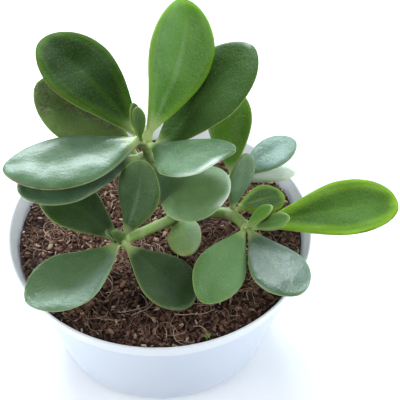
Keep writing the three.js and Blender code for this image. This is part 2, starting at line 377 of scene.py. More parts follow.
# what differs from leaf to leaf
leafTraits = {
    "crown_back_leaf": {
        "deep": (0.064, 0.190, 0.007), "light": (0.128, 0.33, 0.012), "margin": (0.29, 0.55, 0.013),
        "marginWidth": 6.5, "marginAmount": 0.5, "blushAmount": 0.9, "blushSide": 1, "sideWax": -0.06,
        "ribWax": 0.16, "specular": 0.22, "cork": (0.10, 0.09, 0.02), "scars": 0.3,
    },
    "crown_left_up_leaf": {
        "deep": (0.013, 0.036, 0.002), "light": (0.034, 0.078, 0.005), "margin": (0.12, 0.27, 0.012),
        "marginWidth": 7.0, "marginAmount": 0.55, "blushAmount": 0.5, "specular": 0.1, "roughness": 0.5,
    },
    # its pale edge round the tip is a painted highlight
    "crown_right_up_leaf": {
        "deep": (0.030, 0.082, 0.006), "light": (0.050, 0.116, 0.009), "specular": 0.15,
        "roughness": 0.45, "paleEdge": -0.35, "marginWidth": 4.0, "marginAmount": 0.15,
    },
    "crown_left_leaf": {
        "deep": (0.040, 0.112, 0.024), "light": (0.080, 0.195, 0.050), "waxAmount": 0.14,
        "blushAmount": 0.6, "roughness": 0.38, "specular": 0.9, "dimples": 0.28, "ribWax": 0.1,
        "waviness": 1.2 * mm,
    },
    "crown_left_low_leaf": {
        "deep": (0.028, 0.078, 0.018), "light": (0.055, 0.13, 0.035), "waxAmount": 0.12,
        "specular": 0.8, "scars": 0.3, "cork": (0.4, 0.48, 0.4), "waviness": 1.2 * mm,
    },
    "crown_back_low_leaf": {
        "scars": 1.0, "deep": (0.075, 0.15, 0.024), "light": (0.20, 0.31, 0.070), "mottle": 0.8,
        "roughness": 0.55, "cork": (0.11, 0.065, 0.035),
    },
    "crown_right_leaf": {
        "deep": (0.034, 0.088, 0.022), "light": (0.150, 0.28, 0.110), "scars": 0.5, "waxAmount": 0.15,
        "specular": 0.25, "paleEdge": 0.7, "roughness": 0.40, "baseShade": 1.0, "marginWidth": 5.5,
        "marginAmount": 0.08, "cork": (0.05, 0.06, 0.03),
    },
    "crown_right_low_leaf": {
        "deep": (0.115, 0.225, 0.06), "light": (0.185, 0.335, 0.10), "scars": 0.45, "waxAmount": 0.16,
        "paleEdge": -0.6, "roughness": 0.45, "marginWidth": 4.5, "marginAmount": 0.12,
    },
    "left_up_leaf": {
        "deep": (0.024, 0.068, 0.007), "light": (0.050, 0.12, 0.015), "specular": 0.3, "dish": 1.2 * mm,
        "ribWax": 0.08,
    },
    "left_back_leaf": {
        "deep": (0.022, 0.056, 0.004), "light": (0.042, 0.10, 0.007),
    },
    "left_front_leaf": {
        "dimples": 0.7, "deep": (0.040, 0.118, 0.016), "light": (0.075, 0.175, 0.032), "dish": 2.3 * mm,
        "waviness": 1.5 * mm, "sideWax": -0.16, "roughness": 0.34, "specular": 1.0,
    },
    "left_right_leaf": {
        "deep": (0.026, 0.062, 0.010), "light": (0.050, 0.105, 0.018), "roughness": 0.42,
    },
    "stem_leaf": {
        "deep": (0.155, 0.26, 0.065), "light": (0.26, 0.38, 0.13), "margin": (0.42, 0.50, 0.12),
        "specular": 0.35, "sideWax": -0.2, "marginWidth": 4.0,
    },
    "right_front_leaf": {
        "deep": (0.115, 0.235, 0.068), "light": (0.19, 0.36, 0.125), "specular": 0.35,
        "roughness": 0.45,
    },
    "right_side_leaf": {
        "dimples": 0.6, "deep": (0.026, 0.076, 0.024), "light": (0.052, 0.13, 0.050), "sideWax": -0.14,
        "waxAmount": 0.08, "roughness": 0.34, "specular": 1.0, "waviness": 1.4 * mm,
    },
    "right_long_leaf": {
        "deep": (0.050, 0.125, 0.008), "light": (0.095, 0.21, 0.018), "margin": (0.29, 0.53, 0.02),
        "marginWidth": 7.5, "marginAmount": 0.75, "blushAmount": 0.6, "specular": 0.12,
        "roughness": 0.55,
    },
    "right_back_leaf": {
        "deep": (0.026, 0.064, 0.003), "light": (0.048, 0.108, 0.006), "margin": (0.36, 0.58, 0.04),
        "marginWidth": 4.5, "specular": 0.1, "roughness": 0.5,
    },
    "right_up_leaf": {
        "deep": (0.06, 0.13, 0.04), "light": (0.12, 0.22, 0.08), "waxAmount": 0.18, "scars": 0.25,
    },
    "rear_up_leaf": {
        "deep": (0.078, 0.19, 0.009), "light": (0.14, 0.31, 0.020), "margin": (0.2, 0.38, 0.03),
        "marginWidth": 4.0,
    },
    "rear_side_up_leaf": {
        "deep": (0.10, 0.20, 0.125), "light": (0.17, 0.30, 0.20), "waxAmount": 0.45, "dimples": 0.6,
    },
    # this leaf's near-white colour is a painted highlight of its bright sheen
    "rear_side_leaf": {
        "deep": (0.82, 0.93, 0.74), "light": (0.90, 0.97, 0.84), "waxAmount": 0.1, "specular": 1.0,
    },
    "crown_bud_right_leaf": {
        "dimples": 0.1, "deep": (0.018, 0.050, 0.005), "light": (0.04, 0.095, 0.012), "specular": 0.3,
        "neck": (0.16, 0.26, 0.06),
    },
    "crown_bud_left_leaf": {
        "dimples": 0.1, "deep": (0.018, 0.050, 0.005), "light": (0.04, 0.10, 0.012), "rimAmount": 0.2,
        "specular": 0.3, "neck": (0.16, 0.26, 0.06),
    },
    "left_bud_back_leaf": {
        "dimples": 0.1, "deep": (0.018, 0.050, 0.005), "light": (0.04, 0.09, 0.012), "rimAmount": 0.15,
        "neck": (0.06, 0.15, 0.02),
    },
    "left_bud_front_leaf": {
        "dimples": 0.1, "deep": (0.018, 0.046, 0.005), "light": (0.036, 0.08, 0.010), "rimAmount": 0.15,
        "neck": (0.06, 0.15, 0.02),
    },
    "right_young_back_leaf": {
        "dimples": 0.1, "deep": (0.10, 0.25, 0.02), "light": (0.17, 0.38, 0.04),
        "margin": (0.36, 0.55, 0.09),
    },
    "right_young_front_leaf": {
        "dimples": 0.1, "deep": (0.08, 0.19, 0.03), "light": (0.14, 0.30, 0.05),
        "margin": (0.40, 0.55, 0.14),
    },
}

stemNames = ["main_stem", "left_branch", "right_branch", "rear_branch"]


def stemRun(name):
    # centre line and radius of a stem, from its lower end to its upper
    points, near = sharedPoints(name)
    poles = findPoles(near)
    if name == "main_stem":
        start = min(poles, key=lambda i: points[i][2])
    else:
        start = min(poles, key=lambda i: np.hypot(*(points[i][:2] - mainFoot[:2])))
    rings = ringsFrom(points, near, start)
    centres = np.array([ring.mean(0) for ring in rings])
    radii = np.array([np.linalg.norm(ring - ring.mean(0), axis=1).mean() for ring in rings])
    return centres[1:-1], radii[1:-1]


mainFoot = min(sharedPoints("main_stem")[0], key=lambda p: p[2])
stemRuns = {name: stemRun(name) for name in stemNames}


def nearestOn(name, spot):
    # how far a spot is from a stem's centre line, the stem, the closest point and the radius there
    centres, radii = stemRuns[name]
    fine = curveRows(np.c_[centres, radii], np.linspace(0, len(centres) - 1, 12 * len(centres)))
    gaps = np.linalg.norm(fine[:, :3] - spot, axis=1)
    k = int(gaps.argmin())
    return gaps[k], name, fine[k, :3], fine[k, 3]


def nearestStem(spot):
    return min((nearestOn(name, spot) for name in stemNames), key=lambda found: found[0])


def leafSkeleton(nodeName):
    # sections of a packed leaf: middle, side, up, half width, thickness and fold
    points, near = sharedPoints(nodeName)
    poles = findPoles(near)
    base = min(poles, key=lambda i: nearestStem(points[i])[0])
    rings = ringsFrom(points, near, base)
    centres = np.array([ring.mean(0) for ring in rings])
    sections = []
    for k in range(1, len(rings) - 1):
        ring = rings[k]
        heading = unit(centres[k + 1] - centres[k - 1])
        flat = ring - centres[k]
        xAxis = unit(np.cross(heading, [0.3, 0.2, 1.0]))
        yAxis = np.cross(heading, xAxis)
        order = np.argsort(np.arctan2(flat @ yAxis, flat @ xAxis))
        ring = ring[order]
        gaps = np.linalg.norm(ring[:, None] - ring[None], axis=2)
        i, j = np.unravel_index(gaps.argmax(), gaps.shape)
        i, j = min(i, j), max(i, j)
        inner, outer = ring[i + 1:j], np.r_[ring[j + 1:], ring[:i]]
        if len(inner) > len(outer):               # the longer run is the underside
            left, lower, right, upper = ring[i], inner, ring[j], outer
        else:
            left, lower, right, upper = ring[j], outer, ring[i], inner
        top = upper[len(upper) // 2 - 1:len(upper) // 2 + 1].mean(0)
        bottom = lower[len(lower) // 2 - 1:len(lower) // 2 + 1].mean(0)
        middle = (top + bottom) / 2
        side = unit(left - right)
        up = unit((top - bottom) - side * ((top - bottom) @ side))
        halfWidth, thick = np.linalg.norm(left - right) / 2, np.linalg.norm(top - bottom)
        fold = ((left + right) / 2 - middle) @ up
        sections.append(np.r_[middle, side, up, halfWidth, thick, fold])
    tipSection = sections[-1].copy()
    tipSection[:3] = rings[-1][0]
    tipSection[9:] = 0
    baseSection = sections[0].copy()
    baseSection[:3] = rings[0][0]
    return np.array([baseSection] + sections + [tipSection])


def leafFrames(skeleton, look, rows):
    # sections of the whole leaf: a neck that bends back into the stem, then the blade
    base = skeleton[0][:3]
    gap, stemName, root, stemRadius = nearestStem(base)
    blade = curveRows(skeleton, np.linspace(0, len(skeleton) - 1, rows))
    knee = base - unit(skeleton[1][:3] - base) * gap * look["neckBend"]
    neck = np.repeat(blade[:1], look["neckRows"], axis=0)
    for i, t in enumerate(np.linspace(0, 1, look["neckRows"], endpoint=False)):
        neck[i, :3] = root * (1 - t) ** 2 + knee * 2 * t * (1 - t) + base * t ** 2
        neck[i, 9:11] *= look["neckSwell"] + (1 - look["neckSwell"]) * t
    return np.r_[neck, blade]


def buildLeaf(nodeName, material, look, seed):
    skeleton = leafSkeleton(nodeName)
    small = skeleton[:, 9].max() <= look["smallUnder"]
    columns = look["smallColumns"] if small else look["columns"]
    frames = leafFrames(skeleton, look, look["smallRows"] if small else look["rows"])
    walk = np.r_[0, np.cumsum(np.linalg.norm(np.diff(frames[:, :3], axis=0), axis=1))]
    bladeStart = walk[look["neckRows"]]
    bladeLength = walk[-1] - bladeStart
    along = np.clip((walk - bladeStart) / bladeLength, 0, 1)
    full = look["sectionFullness"]
    points, acrossTag, alongTag, underTag, edgeTag = [], [], [], [], []
    for r in range(len(frames) - 1):
        centre, side, up = frames[r, :3], unit(frames[r, 3:6]), unit(frames[r, 6:9])
        up = unit(up - side * (up @ side))
        halfWidth, thick, fold = frames[r, 9:12]
        t = along[r]
        for c in range(columns):                  # runs left, under, right, over
            turn = 2 * math.pi * c / columns
            s = math.cos(turn)
            above = math.sin(turn) < 0
            edgeNoise = noise.noise(Vector((t * 5.0, (1 if s > 0 else -1) * 3.1, seed * 1.7)))
            body = max(0.0, 1 - abs(s) ** full) ** 0.5
            rise = (look["topShare"] if above else look["topShare"] - 1) * thick * body
            if above:
                sink = math.exp(-(s / 0.5) ** 2) * math.sin(math.pi * min(1, max(0, t)))
                rise -= look["dish"] * sink * min(1, halfWidth / (12 * mm))
            bend = fold * abs(s) ** look["foldPower"]
            spread = s * halfWidth * (1 + look["wander"] * edgeNoise)
            points.append(centre + side * spread + up * (rise + bend))
            acrossTag.append(s)
            alongTag.append(t)
            underTag.append(0.0 if above else min(1.0, (1 - abs(s)) * 8))
            toSide = (1 - abs(s)) * halfWidth * (1.6 if abs(s) > 0.8 else 1.0)
            edgeTag.append(min(toSide, (1 - t) * bladeLength * 1.1) / mm)
    points = np.array(points)
    upEach = np.repeat(unit(frames[:-1, 6:9]), columns, axis=0)
    swell = (ripple(points, 75, seed) + ripple(points, 190, seed + 9) * 0.3) * look["waviness"]
    fade = np.clip(np.array(edgeTag) / 3, 0.15, 1) * np.clip(np.array(alongTag) * 6, 0, 1)
    points = points + upEach * (swell * fade)[:, None]
    tip = len(points)
    lastRing = tip - columns
    faces = gridFaces(len(frames) - 1, columns)
    faces.append(tuple(reversed(range(columns))))
    faces += [(lastRing + c, lastRing + (c + 1) % columns, tip) for c in range(columns)]
    tags = {
        "acrossLeaf": acrossTag + [0.0],
        "alongLeaf": alongTag + [1.0],
        "underSide": underTag + [0.0],
        "edgeDistance": edgeTag + [0.0],
    }
    points = np.r_[points, [frames[-1, :3]]]
    return meshObject(nodeName.replace("_leaf", "") + "Blade", points, faces, material, tags=tags)


def oneSide(b, across, side, low, high):
    # a mask that grows towards one edge of a leaf: minus for the left, plus for the right
    return b.span(b.times(across, math.copysign(1, side)), low, high)


def leafMaterial(name, look):
    material, b, shader = newMaterial(name)
    zones = useGroup(b, leafZones, MarginWidth=look["marginWidth"], TipLength=0.3)
    flesh = useGroup(b, plantMottle, Deep=opaque(look["deep"]), Light=opaque(look["light"]),
                     Amount=look["mottle"])
    pores = useGroup(b, waxDots, Density=900.0)
    marks = useGroup(b, leafScars, Amount=look["scars"])
    across = b.tag("acrossLeaf")
    color = b.mix(b.times(zones["Under"], 0.5), flesh["Color"], look["under"])
    color = b.mix(b.times(zones["Midrib"], 0.10), color, look["margin"])
    color = b.mix(b.times(zones["Margin"], look["marginAmount"]), color, look["margin"])
    color = b.mix(b.times(pores["Dots"], 0.2), color, look["wax"])
    # patches of the wax colour: partly wax bloom, partly painted sheen
    bloomAndSheen = b.times(b.span(flesh["Patches"], 0.2, 0.8), look["waxAmount"])
    color = b.mix(bloomAndSheen, color, look["wax"])
    # painted sheen over one half of the leaf, in the wax colour, broken up by the dimples
    if look["sideWax"]:
        half = oneSide(b, across, look["sideWax"], -0.1, 0.7)
        half = b.times(half, b.span(pores["Dimples"], 0.0, 0.8))
        color = b.mix(b.times(half, abs(look["sideWax"]) * 1.5), color, look["wax"])
    # painted sheen along the midrib, in the wax colour
    if look["ribWax"]:
        ribSheenMask = b.times(zones["Midrib"], b.span(pores["Dimples"], 0.25, 0.75))
        color = b.mix(b.times(ribSheenMask, look["ribWax"]), color, look["wax"])
    # pale band round the tip: partly wear, partly painted highlight
    if look["paleEdge"]:
        worn = oneSide(b, across, look["paleEdge"], -0.7, 0.2)
        worn = b.times(b.times(worn, zones["Margin"]), zones["Tip"])
        worn = b.times(worn, abs(look["paleEdge"]) * 1.6, clamp=True)
        color = b.mix(worn, color, look["worn"])
    # painted shade on the half next to the stem
    if look["baseShade"]:
        shade = b.span(b.tag("alongLeaf"), 0.15, 0.6, look["baseShade"], 0.0)
        color = b.mix(shade, color, look["deep"])
    # painted highlight along the very edge
    color = b.mix(b.times(zones["Rim"], look["rimAmount"]), color, look["rim"])
    color = b.mix(b.times(zones["Neck"], 0.85), color, look["neck"])
    if look["blushAmount"]:
        nearTip = b.span(b.tag("alongLeaf"), 0.3, 0.7)
        flush = b.times(b.span(b.tag("edgeDistance"), 1.8, 0.3), nearTip)
        flush = b.times(flush, b.span(b.cloud(120, 3), 0.38, 0.55))
        if look["blushSide"]:
            flush = b.times(flush, oneSide(b, across, look["blushSide"], 0.0, 0.4))
        color = b.mix(b.times(flush, look["blushAmount"]), color, look["blush"])
    color = b.mix(b.times(marks["Corky"], 0.75), color, look["cork"])
    color = b.mix(b.times(marks["Scratches"], 0.8, clamp=True), color, look["scratch"])
    b.wire(color, shader.inputs["Base Color"])
    uneven = b.times(b.math("SUBTRACT", flesh["Patches"], 0.5), 0.1)
    rough = b.plus(look["roughness"], uneven)
    rough = b.plus(rough, b.times(marks["Corky"], 0.3), clamp=True)
    b.wire(rough, shader.inputs["Roughness"])
    height = b.plus(pores["Dimples"], b.times(marks["Corky"], -0.4))
    b.bump(shader, height, look["dimples"], 0.8 * mm)
    shader.inputs["IOR"].default_value = 1.45
    shader.inputs["Specular IOR Level"].default_value = look["specular"]
    softLight(shader, 0.2, (0.6, 1.0, 0.25), 2 * mm)
    return material


leafNames = [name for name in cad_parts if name.endswith("_leaf")]
for seed, nodeName in enumerate(sorted(leafNames)):
    look = {**leafLook, **leafTraits.get(nodeName, {})}
    finish = leafMaterial("flesh of " + nodeName.replace("_", " "), look)
    leaf = buildLeaf(nodeName, finish, look, seed + 1)
    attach(leaf, "root")
    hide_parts(nodeName)
print("jade plant:", len(leafNames), "leaves grown")


stemLook = {
    "columns": 28,
    "rowsPerSection": 10,
    "jointSwell": 0.16,        # how much a joint stands out, of the radius
    "jointLength": 1.6 * mm,
    "mainJoints": (0.3, 0.45, 0.6, 0.72),      # old joints, as shares of the length
    "branchJoints": (0.35, 0.7),
    "ridges": 0.05,
    "barkTop": 85 * mm,        # old wood fades out at this height
    "barkFade": 30 * mm,
    "green": (0.17, 0.32, 0.045),
    "pale": (0.32, 0.47, 0.12),
    "bark": (0.27, 0.26, 0.18),
    "joint": (0.42, 0.40, 0.24),
}


def stemMaterial(look):
    material, b, shader = newMaterial("fleshy green stem")
    flesh = useGroup(b, plantMottle, Deep=opaque(look["green"]), Light=opaque(look["pale"]), Amount=0.8)
    marks = useGroup(b, leafScars, Amount=0.6)
    joint = b.tag("jointRing")
    old = b.tag("oldWood")
    color = b.mix(b.times(old, 0.65), flesh["Color"], look["bark"])
    color = b.mix(b.times(joint, 0.45), color, look["joint"])
    color = b.mix(b.times(marks["Corky"], 0.5), color, look["bark"])
    b.wire(color, shader.inputs["Base Color"])
    b.wire(b.plus(0.42, b.times(old, 0.3)), shader.inputs["Roughness"])
    grain = b.cloud(500, 4, 0.6, spot=b.place((1, 1, 0.35)))
    b.bump(shader, b.plus(grain, b.times(marks["Corky"], -0.3)), 0.5, 0.5 * mm)
    softLight(shader, 0.1, (0.8, 1.0, 0.3), 2 * mm)
    return material


def buildStem(name, material, look, leafBases):
    centres, radii = stemRuns[name]
    run = np.c_[centres, radii]
    oldJoints = look["mainJoints"]
    if name != "main_stem":                       # starts inside the stem it grows from
        root = nearestOn("main_stem", centres[0])[2]
        run = np.r_[[np.r_[root, radii[0] * 1.1]], run]
        oldJoints = look["branchJoints"]
    rows = look["rowsPerSection"] * len(run)
    fine = curveRows(run, np.linspace(0, len(run) - 1, rows))
    headings = unit(np.gradient(fine[:, :3], axis=0))
    walk = np.r_[0, np.cumsum(np.linalg.norm(np.diff(fine[:, :3], axis=0), axis=1))]
    side = unit(np.cross(headings[0], [0.2, 1.0, 0.3]))
    jointSpots = [walk[int(np.linalg.norm(fine[:, :3] - base, axis=1).argmin())] for base in leafBases]
    jointSpots += [walk[-1] * share for share in oldJoints]
    points, jointTag, oldTag = [], [], []
    columns = look["columns"]
    for r in range(rows):
        heading = headings[r]
        side = unit(side - heading * (side @ heading))
        other = np.cross(heading, side)
        ring = sum(math.exp(-((walk[r] - spot) / look["jointLength"]) ** 2) for spot in jointSpots)
        ring = min(1.0, ring)
        closing = 1.0
        leftOver = walk[-1] - walk[r]
        if leftOver < fine[r, 3]:                 # domed growing end
            closing = math.sqrt(max(0.0, 1 - (1 - leftOver / fine[r, 3]) ** 2))
        for c in range(columns):
            turn = 2 * math.pi * c / columns
            direction = side * math.cos(turn) + other * math.sin(turn)
            ridge = noise.noise(Vector((math.cos(turn) * 1.5, math.sin(turn) * 1.5, walk[r] * 120)))
            radius = fine[r, 3] * (1 + look["ridges"] * ridge + look["jointSwell"] * ring) * closing
            points.append(fine[r, :3] + direction * radius)
            jointTag.append(ring)
            oldTag.append(max(0.0, min(1.0, (look["barkTop"] - fine[r, 2]) / look["barkFade"])))
    faces = gridFaces(rows, columns) + endCaps(rows, columns)
    tags = {"jointRing": jointTag, "oldWood": oldTag}
    return meshObject(name.replace("_", "") + "Flesh", points, faces, material, tags=tags)


stemFinish = stemMaterial(stemLook)
leafBases = {}
for nodeName in leafNames:
    base = leafSkeleton(nodeName)[0][:3]
    leafBases.setdefault(nearestStem(base)[1], []).append(base)
for name in stemNames:
    stem = buildStem(name, stemFinish, stemLook, leafBases.get(name, []))
    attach(stem, "root")
    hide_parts(name)
print("jade plant: stems grown")


potLook = {
    "columns": 192,
    "footRadius": 55.5 * mm,   # where the slope of the wall meets the floor it stands on
    "corner": 3 * mm,          # rounding between the wall and the underside
    "wall": 1.5 * mm,
    "wallTaper": 0.3 * mm,     # how much thicker the wall is below its lip
    "floor": 2.4 * mm,
    "bandHeight": 9 * mm,      # the band under the rim
    "bandStep": 0.5 * mm,      # how far the band stands proud of the wall
    "rimRounding": 0.7 * mm,
    "wobble": (0.0012, 0.0005),    # how far from round, of its radius, in two and in five lobes
    "white": (0.69, 0.755, 0.86),
    "shade": (0.65, 0.72, 0.845),
    # painted light and shade on the step under the rim: the band lighter, the groove at its foot darker
    "band": (0.80, 0.84, 0.895),
    "groove": (0.60, 0.66, 0.78),
    "scuff": (0.66, 0.70, 0.78),
    "roughness": 0.40,
    "drainHoles": 6,
    "drainRadius": 4 * mm,
    "drainRing": 34 * mm,      # from the middle of the pot to the middle of a hole
    "drainSides": 32,
    "drillReach": (-5 * mm, 8 * mm),
    "innerRadius": 45 * mm,    # floor faces nearer the middle than this stay flat
}
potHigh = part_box("pot")[1]
bandFoot = potHigh.z - potLook["bandHeight"]


def potFlat():
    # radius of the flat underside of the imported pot
    points = sharedPoints("pot")[0]
    return np.hypot(points[:, 0], points[:, 1])[points[:, 2] < 0.5 * mm].max()


def potProfile(look):
    # radius and height of each ring, up the outside and down the inside
    height, rim, flat = potHigh.z, potHigh.x, potFlat()
    slope = (rim - look["footRadius"]) / height
    corner, step, lip, floor = look["corner"], look["bandStep"], look["rimRounding"], look["floor"]

    def wallAt(z):
        return look["footRadius"] + slope * z

    profile = [(flat, 0.0)]
    for k in range(1, 9):
        a = math.pi / 2 * k / 8
        profile.append((wallAt(corner) - corner + corner * math.sin(a), corner - corner * math.cos(a)))
    for k in range(1, 15):
        z = corner + (bandFoot - 1.2 * mm - corner) * k / 14
        profile.append((wallAt(z) - step * min(1, k / 2), z))
    profile.append((wallAt(bandFoot) - 0.84 * step, bandFoot - 0.5 * mm))
    profile.append((wallAt(bandFoot) - 0.24 * step, bandFoot - 0.1 * mm))
    profile.append((wallAt(bandFoot), bandFoot + 0.4 * mm))
    for k in range(1, 6):
        z = bandFoot + (height - lip - bandFoot) * k / 6
        profile.append((wallAt(z), z))
    for k in range(7):
        a = math.pi * k / 6
        profile.append((rim - lip + lip * math.cos(a), height - lip + lip * math.sin(a)))
    for k in range(1, 18):
        z = height - lip - (height - lip - floor - corner) * k / 17
        profile.append((wallAt(z) - look["wall"] - look["wallTaper"] * min(1, k / 3), z))
    return profile + [(flat - 1 * mm, floor + 0.6 * mm), (flat - 3 * mm, floor)]


def buildPot(material, look):
    profile = potProfile(look)
    columns = look["columns"]
    oval, lobes = look["wobble"]
    points = []
    for r, z in profile:
        for c in range(columns):
            a = 2 * math.pi * c / columns
            wobble = 1 + oval * math.sin(2 * a + 0.7) + lobes * math.sin(5 * a)
            points.append((r * wobble * math.cos(a), r * wobble * math.sin(a), z))
    faces = gridFaces(len(profile), columns) + endCaps(len(profile), columns)
    return meshObject("bowlPot", points, faces, material)


def drillPot(pot, look):
    # cuts the drain holes through the floor of the pot
    sides, ring, radius = look["drainSides"], look["drainRing"], look["drainRadius"]
    points, faces = [], []
    for k in range(look["drainHoles"]):
        a = 2 * math.pi * k / look["drainHoles"]
        first = len(points)
        for z in look["drillReach"]:
            for c in range(sides):
                turn = 2 * math.pi * c / sides
                points.append((ring * math.cos(a) + radius * math.cos(turn),
                               ring * math.sin(a) + radius * math.sin(turn), z))
        faces += gridFaces(2, sides, start=first) + endCaps(2, sides, start=first)
    drill = meshObject("potDrill", points, faces, pot.data.materials[0], smooth=False)
    cut = pot.modifiers.new("drainHoles", "BOOLEAN")
    cut.object = drill
    cut.operation = "DIFFERENCE"
    cut.solver = "EXACT"
    bpy.context.view_layer.update()
    cutMesh = bpy.data.meshes.new_from_object(pot.evaluated_get(bpy.context.evaluated_depsgraph_get()))
    pot.modifiers.clear()
    pot.data = cutMesh
    for face in cutMesh.polygons:                 # crisp edges round the flat floor and the holes
        level = abs(face.normal.z) > 0.99 or math.hypot(*face.center[:2]) < look["innerRadius"]
        if level and face.center.z < 4 * mm:
            face.use_smooth = False
    bpy.data.objects.remove(drill)


def potMaterial(look):
    material, b, shader = newMaterial("white moulded plastic")
    z = b.node("ShaderNodeSeparateXYZ")
    b.wire(b.place(), z.inputs[0])
    height = z.outputs[2]
    color = b.mix(b.span(b.cloud(18, 3, 0.5), 0.3, 0.7), look["white"], look["shade"])
    # painted light on the band under the rim and painted shade in the groove at its foot
    color = b.mix(b.span(height, bandFoot - 0.4 * mm, bandFoot + 0.2 * mm), color, look["band"])
    fromGroove = b.math("ABSOLUTE", b.math("SUBTRACT", height, bandFoot - 0.7 * mm))
    color = b.mix(b.times(b.span(fromGroove, 0.7 * mm, 0.0), 0.5), color, look["groove"])
    scuffs = b.span(b.cloud(35, 4, 0.7, spot=b.place((1, 1, 6))), 0.58, 0.66)
    color = b.mix(b.times(scuffs, 0.12), color, look["scuff"])
    b.wire(color, shader.inputs["Base Color"])
    haze = b.times(b.math("SUBTRACT", b.cloud(90, 4, 0.6), 0.5), 0.08)
    b.wire(b.plus(look["roughness"], haze), shader.inputs["Roughness"])
    grain = b.times(b.cloud(1800, 3, 0.6), 0.25)
    b.bump(shader, b.plus(b.cloud(60, 2), grain), 0.12, 0.3 * mm)
    softLight(shader, 0.5, (1.0, 0.95, 0.9), 4 * mm)
    return material


pot = buildPot(potMaterial(potLook), potLook)
drillPot(pot, potLook)
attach(pot, "root")
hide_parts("pot")
print("jade plant: pot turned")


soilLook = {
    "chips": 9000,
    "fibres": 900,
    "tangles": 16,
    "tangleFibres": 16,        # in each tangle
    # the few long strands that catch the eye: x, y and length in millimetres
    "strays": [(-22, -48, 30), (-14, -52, 24), (-52, -14, 26), (-8, -30, 28), (6, -50, 22)],
    "chipLength": (0.8, 4.0),
    "paleShare": 0.11,         # how many of the chips are bleached
    "potSlope": 0.30,          # how fast the bed narrows downwards, a little more than the pot
    "below": 1.6 * mm,         # how far the mean surface lies below the top of the packed soil
    "unevenness": ((38, 1.1, (3, 1, 7)), (105, 1.5, (9, 4, 2)), (260, 0.7, (0, 0, 0))),
    "bedRings": 84,
    "bedColumns": 220,
    "seed": 41,
    # the darkest chips, and the bed between the chips, whose low tone paints the shade in the gaps
    "dark": (0.018, 0.010, 0.008),
    "brown": (0.165, 0.086, 0.058),
    "red": (0.36, 0.20, 0.135),
    "tan": (0.68, 0.49, 0.37),
}
soilLow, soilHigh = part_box("soil")
soilEdge = soilHigh.x
soilLevel = soilHigh.z - soilLook["below"]


def soilHeight(x, y):
    # three sizes of unevenness, and a shoulder that drops towards the pot
    z = soilLevel
    for scale, size, shift in soilLook["unevenness"]:
        z += size * mm * noise.noise(Vector((x, y, 0)) * scale + Vector(shift))
    rimDrop = max(0.0, (math.hypot(x, y) - soilEdge + 5 * mm) / (5 * mm))
    return z - 1.2 * mm * rimDrop ** 2


def soilMaterial(look):
    material, b, shader = newMaterial("coir chips")
    tone = b.tag("chipTone")
    warm = b.tag("chipWarm")
    grain = b.cloud(1400, 4, 0.7)
    lumps = b.cloud(320, 4, 0.65)
    shade = b.plus(tone, b.times(b.math("SUBTRACT", grain, 0.5), 0.5), clamp=True)
    color = b.mix(b.span(shade, 0.0, 0.55), look["dark"], look["brown"])
    redness = b.plus(0.35, b.times(warm, 0.65))
    color = b.mix(b.times(b.span(shade, 0.45, 0.9), redness), color, look["red"])
    color = b.mix(b.span(shade, 0.86, 1.0), color, look["tan"])
    color = b.mix(b.times(b.span(lumps, 0.6, 0.75), 0.3), color, look["red"])
    b.wire(color, shader.inputs["Base Color"])
    b.wire(b.plus(0.82, b.times(grain, 0.15)), shader.inputs["Roughness"])
    shader.inputs["Specular IOR Level"].default_value = 0.25
    b.bump(shader, b.plus(grain, b.times(lumps, 0.8)), 0.8, 0.6 * mm)
    return material


def buildSoilBed(material, look):
    # the uneven top from the middle outwards, then the side and the flat bottom
    rings, columns = look["bedRings"], look["bedColumns"]
    points, tone = [(0, 0, soilHeight(0, 0))], [0.2]
    for r in range(1, rings + 1):
        radius = soilEdge * r / rings
        for c in range(columns):
            a = 2 * math.pi * (c + 0.5 * (r % 2)) / columns
            x, y = radius * math.cos(a), radius * math.sin(a)
            points.append((x, y, soilHeight(x, y)))
            # the bed shows in the gaps between chips; its low tone paints the shade there
            tone.append(0.12 + 0.25 * noise.noise(Vector((x, y, 1)) * 300))
    for z in (soilLow.z + 20 * mm, soilLow.z):
        radius = soilEdge - (soilHigh.z - z) * look["potSlope"] - 1.5 * mm
        for c in range(columns):
            a = 2 * math.pi * (c + 0.5 * (rings % 2)) / columns
            points.append((radius * math.cos(a), radius * math.sin(a), z))
            tone.append(0.2)
    faces = [(0, 1 + c, 1 + (c + 1) % columns) for c in range(columns)]
    faces += gridFaces(rings, columns, start=1)
    side = len(points) - 2 * columns
    for a, b in ((side - columns, side), (side, side + columns)):
        faces += [(a + c, b + c, b + (c + 1) % columns, a + (c + 1) % columns) for c in range(columns)]
    faces.append(tuple(range(side + columns, side + 2 * columns)))
    warm = [0.3 + 0.3 * noise.noise(Vector(p) * 180) for p in points]
    return meshObject("coirBed", points, faces, material, tags={"chipTone": tone, "chipWarm": warm})


def scatterSpot(dice, edge):
    while True:
        x, y = dice.uniform(-edge, edge), dice.uniform(-edge, edge)
        if math.hypot(x, y) < edge:
            return x, y


